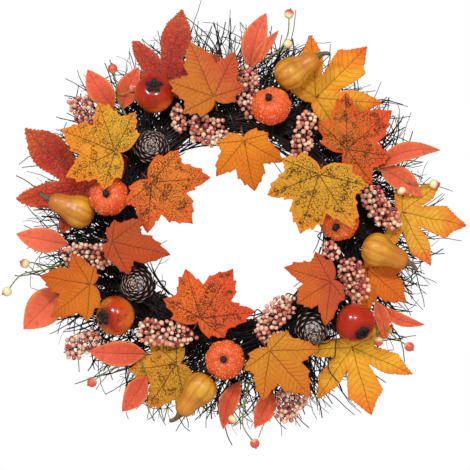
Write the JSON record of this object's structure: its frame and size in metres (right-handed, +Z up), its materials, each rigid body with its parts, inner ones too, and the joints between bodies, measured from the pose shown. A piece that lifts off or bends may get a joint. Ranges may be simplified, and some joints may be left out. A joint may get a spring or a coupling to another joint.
{
  "type": "harvest door wreath",
  "caption": "Round autumn door wreath: a wire and vine ring bound with twigs, dressed with silk maple leaves, foam pumpkins and fruit, cones and berry picks, on a swinging wire hanging loop.",
  "frame": {"origin": "seat of the door hook, on the inner top edge of the hanging loop", "axes": "+Z up, the wreath faces -Y, +Y points into the door, +X to the right as seen from the front"},
  "size_m": [0.4477, 0.0791, 0.4236],
  "materials": {
    "steel_wire": "dark annealed wire",
    "vine_bark": "rough dark bark",
    "twig_bark": "thin dark twigs",
    "red_silk": "dark red velvet",
    "golden_silk": "dyed polyester cloth, yellow with orange tips",
    "orange_silk": "dyed polyester cloth, orange",
    "speckled_silk": "dyed polyester cloth, yellow to orange with brown speckles",
    "coral_leaf": "dyed polyester cloth, coral",
    "pumpkin_foam": "foam coated with sugar beads",
    "persimmon_foam": "foam, lacquered",
    "gourd_foam": "foam, satin painted",
    "pine_cone": "brown scales with frosted edges",
    "berry_pearl": "pearl lacquer",
    "rose_hip": "cream to red blush, satin",
    "green_stem": "floral tape over wire"
  },
  "bodies": {
    "wreath": {"frame_ring": "steel_wire", "binding_wire": "steel_wire", "vine_1": "vine_bark", "vine_2": "vine_bark", "twig_fan_1": "twig_bark", "twig_fan_2": "twig_bark", "twig_fan_3": "twig_bark", "twig_fan_4": "twig_bark", "twig_fan_5": "twig_bark", "red_leaf_1": "red_silk", "red_leaf_2": "red_silk", "golden_leaf_1": "golden_silk", "golden_leaf_2": "golden_silk", "golden_leaf_3": "golden_silk", "orange_leaf_1": "orange_silk", "orange_leaf_2": "orange_silk", "orange_leaf_3": "orange_silk", "orange_leaf_4": "orange_silk", "orange_leaf_5": "orange_silk", "orange_leaf_6": "orange_silk", "orange_leaf_7": "orange_silk", "speckled_leaf_1": "speckled_silk", "speckled_leaf_2": "speckled_silk", "speckled_leaf_3": "speckled_silk", "speckled_leaf_4": "speckled_silk", "speckled_leaf_5": "speckled_silk", "speckled_leaf_6": "speckled_silk", "pumpkin_1": "pumpkin_foam", "pumpkin_2": "pumpkin_foam", "pumpkin_3": "pumpkin_foam", "pumpkin_4": "pumpkin_foam", "persimmon_1": "persimmon_foam", "persimmon_2": "persimmon_foam", "persimmon_3": "persimmon_foam", "gourd_1": "gourd_foam", "gourd_2": "gourd_foam", "gourd_3": "gourd_foam", "gourd_4": "gourd_foam", "pine_cone_1": "pine_cone", "pine_cone_2": "pine_cone", "pine_cone_3": "pine_cone", "berry_spray_1": "berry_pearl", "berry_spray_2": "berry_pearl", "berry_spray_3": "berry_pearl", "berry_spray_4": "berry_pearl", "berry_spray_5": "berry_pearl", "berry_spray_6": "berry_pearl", "berry_spray_7": "berry_pearl", "berry_spray_8": "berry_pearl", "berry_spray_9": "berry_pearl", "berry_spray_10": "berry_pearl", "berry_spray_11": "berry_pearl", "rosehip_pick_1": "coral_leaf", "rosehip_pick_2": "coral_leaf", "rosehip_pick_3": "coral_leaf", "rosehip_pick_4": "coral_leaf", "rosehip_pick_5": "coral_leaf", "rosehip_pick_6": "coral_leaf", "rosehip_pick_7": "coral_leaf"},
    "hanging_loop": {"hanging_loop": "steel_wire"}
  },
  "joints": [
    {"name": "hanger_swing", "type": "hinge", "parent": "wreath", "child": "hanging_loop", "pos_m": [0, 0, -0.032], "axis": [-1, 0, 0], "range_deg": [0, 180]}
  ]
}
